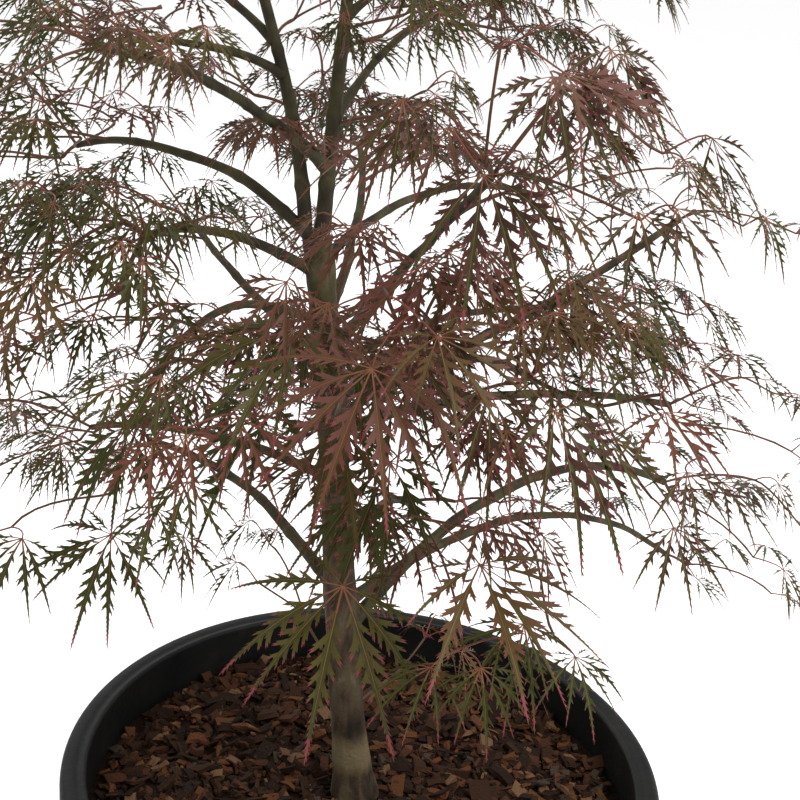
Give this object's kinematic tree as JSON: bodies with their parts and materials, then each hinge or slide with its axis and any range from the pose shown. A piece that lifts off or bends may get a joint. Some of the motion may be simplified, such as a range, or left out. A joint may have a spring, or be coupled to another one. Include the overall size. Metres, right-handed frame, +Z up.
{
  "type": "potted japanese maple",
  "caption": "Young laceleaf Japanese maple with bronze-purple drooping foliage, a leaning trunk and open tiers of boughs, in a round black nursery pot with bark mulch.",
  "frame": {"origin": "centre of the pot's flat underside", "axes": "+Z up, the trunk leans towards -X as it rises, -Y is the side the picture was taken from"},
  "size_m": [0.5794, 0.5513, 0.8873],
  "materials": {
    "pot_plastic": "satin",
    "bark_mulch": "matte",
    "trunk_bark": "matte",
    "bough_bark": "matte",
    "foliage": "satin"
  },
  "bodies": {
    "root": {"bark_mulch": "bark_mulch", "bough_back_low": "bough_bark", "bough_back_middle": "bough_bark", "bough_front_high": "bough_bark", "bough_front_left": "bough_bark", "bough_front_low": "bough_bark", "bough_front_middle": "bough_bark", "bough_front_right": "bough_bark", "bough_left_back": "bough_bark", "bough_left_forward": "bough_bark", "bough_left_high": "bough_bark", "bough_left_high_back": "bough_bark", "bough_left_high_forward": "bough_bark", "bough_left_low_back": "bough_bark", "bough_left_low_forward": "bough_bark", "bough_left_low_side": "bough_bark", "bough_left_middle": "bough_bark", "bough_right_back": "bough_bark", "bough_right_high": "bough_bark", "bough_right_inner": "bough_bark", "bough_right_low": "bough_bark", "bough_right_low_back": "bough_bark", "bough_right_middle": "bough_bark", "bough_top_back": "bough_bark", "bough_top_forward": "bough_bark", "bough_top_right": "bough_bark", "foliage_back_low": "foliage", "foliage_back_middle": "foliage", "foliage_front_high": "foliage", "foliage_front_left": "foliage", "foliage_front_low": "foliage", "foliage_front_middle": "foliage", "foliage_front_right": "foliage", "foliage_left_back": "foliage", "foliage_left_forward": "foliage", "foliage_left_high": "foliage", "foliage_left_high_back": "foliage", "foliage_left_high_forward": "foliage", "foliage_left_leader": "foliage", "foliage_left_low_back": "foliage", "foliage_left_low_forward": "foliage", "foliage_left_low_side": "foliage", "foliage_left_middle": "foliage", "foliage_right_back": "foliage", "foliage_right_high": "foliage", "foliage_right_inner": "foliage", "foliage_right_leader": "foliage", "foliage_right_low": "foliage", "foliage_right_low_back": "foliage", "foliage_right_middle": "foliage", "foliage_top_back": "foliage", "foliage_top_forward": "foliage", "foliage_top_right": "foliage", "left_leader": "trunk_bark", "pot": "pot_plastic", "right_leader": "trunk_bark", "trunk": "trunk_bark"}
  },
  "joints": []
}
